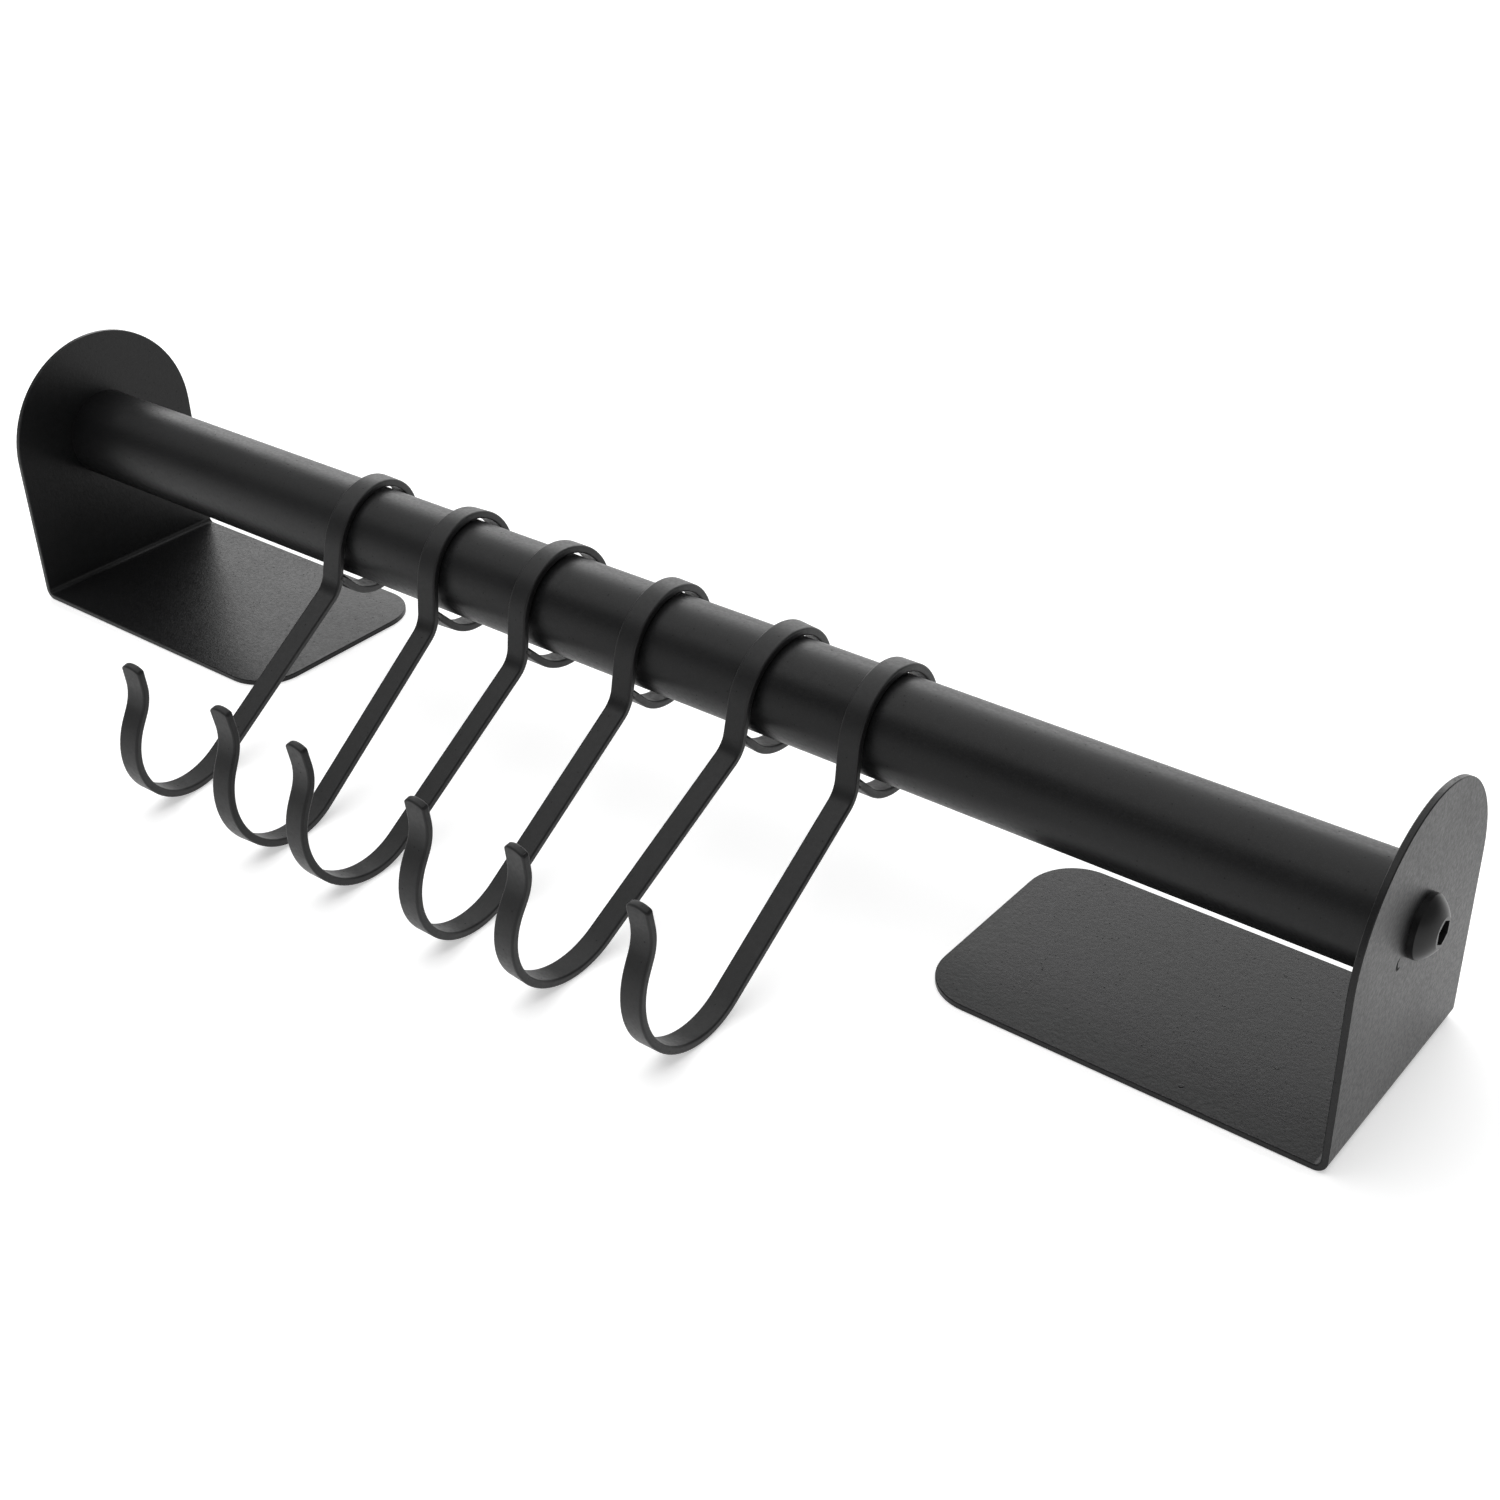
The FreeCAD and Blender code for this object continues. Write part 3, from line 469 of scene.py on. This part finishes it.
def bar_outline(wide, thick, radius, inset=0.0):
    """The bar's rounded section as (x, out) points, drawn in by the inset."""
    corner = max(radius - inset, 0.02 * MM)
    half_wide = wide / 2 - inset
    half_thick = thick / 2 - inset
    points = []
    for quarter, (side, level) in enumerate(((1, -1), (1, 1), (-1, 1), (-1, -1))):
        centre_x = side * (half_wide - corner)
        centre_out = level * (half_thick - corner)
        turns = [math.radians(90 * (quarter - 1) + 90 * number / CORNER_STEPS)
                 for number in range(CORNER_STEPS + 1)]
        round_points = [(centre_x + corner * math.cos(turn), centre_out + corner * math.sin(turn))
                        for turn in turns]
        first, last = round_points[0], round_points[-1]
        before = (math.sin(turns[0]), -math.cos(turns[0]))
        after = (-math.sin(turns[-1]), math.cos(turns[-1]))
        points.append((first[0] + SUPPORT * before[0], first[1] + SUPPORT * before[1]))
        points.extend(round_points)
        points.append((last[0] + SUPPORT * after[0], last[1] + SUPPORT * after[1]))
        if side == level:
            span = side * (half_wide - corner - SUPPORT)
            points.extend((span * (1 - 2 * number / ACROSS_STEPS), level * half_thick)
                          for number in range(1, ACROSS_STEPS))
    return points


def close_end(mesh, loop):
    """Close an end of the bar by a strip of faces, so that the end can be arched."""
    for number in range(len(loop) // 2 - 1):
        low = CORNER_POINTS - 1 - number
        high = 2 * CORNER_POINTS - 1 - low
        mesh.faces.new([loop[index % len(loop)] for index in (low, high, high + 1, low - 1)])


def build_bar(mesh, shape, axis_height):
    """Sweep the section along the bar, round off the tip and close both ends."""
    route = bar_route(shape, axis_height)
    rings = [(point, heading, 0.0, 0.0) for point, heading in route.stations]
    arch_from = len(rings) - 1 - ARCH_STATIONS
    for number in range(1, TIP_STEPS + 1):
        turn = math.radians(90 * number / TIP_STEPS)
        inset = TIP_ROUND * (1 - math.cos(turn))
        rings.append((route.point, route.heading, inset, TIP_ROUND * math.sin(turn)))
    loops = []
    for index, (point, heading, inset, ahead) in enumerate(rings):
        along = Vector((math.cos(math.radians(heading)), math.sin(math.radians(heading))))
        out = Vector((-along.y, along.x))
        share = min(1.0, max(0.0, (index - arch_from) / ARCH_STATIONS))
        loop = []
        for x, lift in bar_outline(shape.bar_width, shape.bar_thickness, shape.edge_radius, inset):
            sag = share * (TIP_ARCH - math.sqrt(TIP_ARCH ** 2 - x ** 2))
            place = point + out * lift + along * (ahead - sag)
            loop.append(mesh.verts.new((x, place.x, place.y)))
        loops.append(loop)
    for first, second in zip(loops[:-1], loops[1:]):
        for number in range(len(first)):
            after = (number + 1) % len(first)
            mesh.faces.new((first[number], first[after], second[after], second[number]))
    close_end(mesh, loops[0])
    close_end(mesh, loops[-1])


def build_weld(mesh, shape):
    """A short rounded bead below the welded end, across the back of the neck."""
    end, _ = weld_point(shape)
    half = math.radians(180 - (RING_BACK + RING_FRONT) / 2)
    facing = math.radians((RING_FRONT - RING_BACK) / 2)
    reach = shape.bar_thickness / 2 / math.sin(half) + shape.weld_radius / 2
    centre = end + reach * Vector((math.cos(facing), math.sin(facing)))
    made = bmesh.ops.create_uvsphere(mesh, u_segments=20, v_segments=12, radius=shape.weld_radius)
    stretch = WELD_REACH * shape.bar_width / shape.weld_radius
    for vert in made["verts"]:
        thin = 1 - WELD_TAPER * abs(vert.co.x / shape.weld_radius) ** 2
        vert.co = Vector((vert.co.x * stretch, vert.co.y * thin, vert.co.z * thin))
        vert.co += Vector((0.0, centre.x, centre.y))


def build_hook(name, shape, joint):
    """One hook as a mesh, set on the tube at its joint, tilted on it and turned by its skew."""
    place = Vector(joint["pos_m"])
    mesh = bmesh.new()
    build_bar(mesh, shape, place.z)
    build_weld(mesh, shape)
    bmesh.ops.recalc_face_normals(mesh, faces=mesh.faces)
    skewed = Matrix.Rotation(math.radians(HOOK_SKEWS[name]), 4, "Z")
    tilted = Matrix.Rotation(math.radians(HOOK_TILTS[name]), 4, "Y")
    mesh.transform(Matrix.Translation(place) @ skewed @ tilted)
    data = bpy.data.meshes.new(name + "_bar")
    mesh.to_mesh(data)
    mesh.free()
    data.polygons.foreach_set("use_smooth", [True] * len(data.polygons))
    hook = bpy.data.objects.new(name + "_bar", data)
    bpy.context.scene.collection.objects.link(hook)
    return hook


class BendHooks(bpy.types.Operator):
    """Bend the hooks from round-edged flat bar and coat them"""

    bl_idname = "utensil_rail.bend_hooks"
    bl_label = "Bend the hooks"

    def execute(self, context):
        settings = context.scene.rail_coat
        coat = powder_coat("hook_coat", settings, settings.hook_roughness, settings.hook_shine, peel=0.5)
        joints = {joint["child"]: joint for joint in frame["joints"]}
        for name in HOOKS:
            hook = build_hook(name, context.scene.rail_hook, joints[name])
            hook.data.materials.append(coat.material)
            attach(hook, name)
            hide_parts(name)
        return {"FINISHED"}


class BlackenScrews(bpy.types.Operator):
    """Blacken the two end screws"""

    bl_idname = "utensil_rail.blacken_screws"
    bl_label = "Blacken the screws"

    def execute(self, context):
        settings = context.scene.rail_screws
        finish = Finish("screw_black")
        scale = finish.noise(0.35 * MM, detail=3.0, roughness=0.6)
        patches = finish.noise(5 * MM, detail=2.0)
        bump = finish.node("ShaderNodeBump", {"Height": scale, "Strength": 0.4, "Distance": 0.01 * MM})
        dark, light = tone(settings.colour, 0.8), tone(settings.colour, 1.3)
        shade = finish.blend(finish.spread(patches, 0.35, 0.65), dark, light)
        gloss = finish.spread(scale, 0.3, 0.7, settings.roughness - 0.05, settings.roughness + 0.05)
        finish.set(Base_Color=shade, Roughness=gloss, Normal=bump.outputs["Normal"])
        finish.set(IOR=1.5, Specular_IOR_Level=settings.shine)
        finish.wear(SCREWS)
        return {"FINISHED"}


class TurnPlugs(bpy.types.Operator):
    """Give the plugs the ringed look of turned steel"""

    bl_idname = "utensil_rail.turn_plugs"
    bl_label = "Turn the plugs"

    def execute(self, context):
        settings = context.scene.rail_plugs
        finish = Finish("plug_steel")
        # A wave at scale 1 repeats every tenth of pi
        turning = {"Vector": finish.place, "Scale": 0.1 * math.pi / settings.groove_pitch, "Distortion": 1.5}
        rings = finish.node("ShaderNodeTexWave", turning, wave_type="BANDS", bands_direction="X")
        smears = finish.noise(2 * MM, detail=3.0)
        bump = finish.node("ShaderNodeBump", {"Height": rings.outputs["Fac"], "Strength": 0.3,
                                              "Distance": 0.01 * MM})
        shade = finish.blend(smears, tone(settings.colour, 0.8), tone(settings.colour, 1.1))
        gloss = finish.spread(smears, 0.3, 0.7, 0.28, 0.4)
        finish.set(Base_Color=shade, Roughness=gloss, Normal=bump.outputs["Normal"], Metallic=1.0)
        finish.wear(PLUGS)
        return {"FINISHED"}


# Stage

def lens_rays(finish):
    """One where a ray comes from the lens, a reflection or clear glass, otherwise zero."""
    path = finish.node("ShaderNodeLightPath").outputs
    direct = finish.maths("MAXIMUM", path["Is Camera Ray"], path["Is Glossy Ray"])
    return finish.maths("MAXIMUM", direct, path["Is Transmission Ray"])


def lay_table(settings):
    """A plain white table top at the level of the flanges' undersides."""
    half = settings.table_size / 2
    mesh = bpy.data.meshes.new("table_top")
    edges = [(-half, -half, 0), (half, -half, 0), (half, half, 0), (-half, half, 0)]
    mesh.from_pydata(edges, [], [(0, 1, 2, 3)])
    table = bpy.data.objects.new("table_top", mesh)
    bpy.context.scene.collection.objects.link(table)
    finish = Finish("table_white")
    tree = finish.tree
    finish.set(Base_Color=(*settings.table_colour, 1.0), Roughness=0.9, Specular_IOR_Level=0.0)
    glow = finish.node("ShaderNodeEmission", {"Color": (1.0, 1.0, 1.0, 1.0)})
    strength = finish.maths("MULTIPLY", lens_rays(finish), settings.table_glow)
    tree.links.new(strength, glow.inputs["Strength"])
    both = finish.node("ShaderNodeAddShader")
    tree.links.new(finish.shader.outputs["BSDF"], both.inputs[0])
    tree.links.new(glow.outputs["Emission"], both.inputs[1])
    tree.links.new(both.outputs["Shader"], tree.nodes["Material Output"].inputs["Surface"])
    mesh.materials.append(finish.material)


# Between these heights on a unit sphere the white band round the horizon fades
BAND_TOP = 0.06
BAND_END = 0.32


def light_room(settings):
    """A room that is white round the horizon and dimmer overhead."""
    world = bpy.data.worlds.new("pale_room")
    world.use_nodes = True
    tree = world.node_tree
    room = tree.nodes["Background"]
    room.inputs["Color"].default_value = (1.0, 1.0, 1.0, 1.0)
    sky = tree.nodes.new("ShaderNodeTexCoord")
    parts = tree.nodes.new("ShaderNodeSeparateXYZ")
    fade = tree.nodes.new("ShaderNodeMapRange")
    fade.interpolation_type = "SMOOTHSTEP"
    for key, value in (("From Min", BAND_TOP), ("From Max", BAND_END),
                       ("To Min", 1.0), ("To Max", settings.room_light)):
        fade.inputs[key].default_value = value
    tree.links.new(sky.outputs["Generated"], parts.inputs["Vector"])
    tree.links.new(parts.outputs["Z"], fade.inputs["Value"])
    tree.links.new(fade.outputs["Result"], room.inputs["Strength"])
    bpy.context.scene.world = world


# Each lamp's place, width and height in metres
BACK_LAMP = ((-0.66, 1.42, 0.74), 2.4, 0.8)
TOP_LAMP = ((-0.25, 0.05, 1.5), 2.3, 2.3)


def hang_lamp(name, place, width, height, power):
    """A rectangular soft lamp that points from its place at the rail."""
    lamp = bpy.data.lights.new(name, "AREA")
    lamp.shape = "RECTANGLE"
    lamp.size = width
    lamp.size_y = height
    lamp.energy = power
    holder = bpy.data.objects.new(name, lamp)
    holder.location = place
    holder.rotation_euler = (-Vector(place)).to_track_quat("-Z", "Y").to_euler()
    bpy.context.scene.collection.objects.link(holder)


# Where the photograph was taken from, and the directions of its width and of its height downward
CAMERA_PLACE = (313.47 * MM, -333.98 * MM, 292.05 * MM)
CAMERA_RIGHT = (0.78254, 0.62204, -0.02648)
CAMERA_DOWN = (0.31312, -0.42996, -0.84681)


def set_camera(settings):
    """The camera at the photograph's place, level and lens."""
    right = Vector(CAMERA_RIGHT).normalized()
    ahead = right.cross(Vector(CAMERA_DOWN)).normalized()
    up = right.cross(ahead)
    lens = bpy.data.cameras.new("studio_camera")
    lens.lens = settings.lens
    lens.sensor_width = 36.0
    lens.sensor_fit = "HORIZONTAL"
    lens.clip_start = 0.01
    lens.clip_end = 50.0
    camera = bpy.data.objects.new("studio_camera", lens)
    turned = Matrix((right, up, -ahead)).transposed()
    camera.matrix_world = Matrix.Translation(CAMERA_PLACE) @ turned.to_4x4()
    bpy.context.scene.collection.objects.link(camera)
    bpy.context.scene.camera = camera


class SetStage(bpy.types.Operator):
    """Lay the table, hang the lamps and set the camera"""

    bl_idname = "utensil_rail.set_stage"
    bl_label = "Set the stage"

    def execute(self, context):
        settings = context.scene.rail_studio
        lay_table(settings)
        light_room(settings)
        hang_lamp("back_lamp", *BACK_LAMP, settings.back_light)
        hang_lamp("top_lamp", *TOP_LAMP, settings.top_light)
        set_camera(settings)
        context.scene.view_settings.view_transform = "Standard"
        return {"FINISHED"}


STEPS = (CoatBrackets, CoatTube, BendHooks, BlackenScrews, TurnPlugs, SetStage)


class RailPanel(bpy.types.Panel):
    """The rail's finishes and the steps that apply them"""

    bl_idname = "VIEW3D_PT_utensil_rail"
    bl_label = "Utensil Rail"
    bl_space_type = "VIEW_3D"
    bl_region_type = "UI"
    bl_category = "Utensil Rail"

    def draw(self, context):
        for name, group in FINISHES:
            box = self.layout.box()
            for key in group.__annotations__:
                box.prop(getattr(context.scene, name), key)
        for step in STEPS:
            self.layout.operator(step.bl_idname)


def register():
    for name, group in FINISHES:
        bpy.utils.register_class(group)
        setattr(bpy.types.Scene, name, bpy.props.PointerProperty(type=group))
    for item in (*STEPS, RailPanel):
        bpy.utils.register_class(item)


def unregister():
    for item in (RailPanel, *reversed(STEPS)):
        bpy.utils.unregister_class(item)
    for name, group in reversed(FINISHES):
        delattr(bpy.types.Scene, name)
        bpy.utils.unregister_class(group)


def main():
    register()
    bpy.ops.utensil_rail.coat_brackets()
    bpy.ops.utensil_rail.coat_tube()
    bpy.ops.utensil_rail.bend_hooks()
    bpy.ops.utensil_rail.blacken_screws()
    bpy.ops.utensil_rail.turn_plugs()
    bpy.ops.utensil_rail.set_stage()


if __name__ == "__main__":
    main()
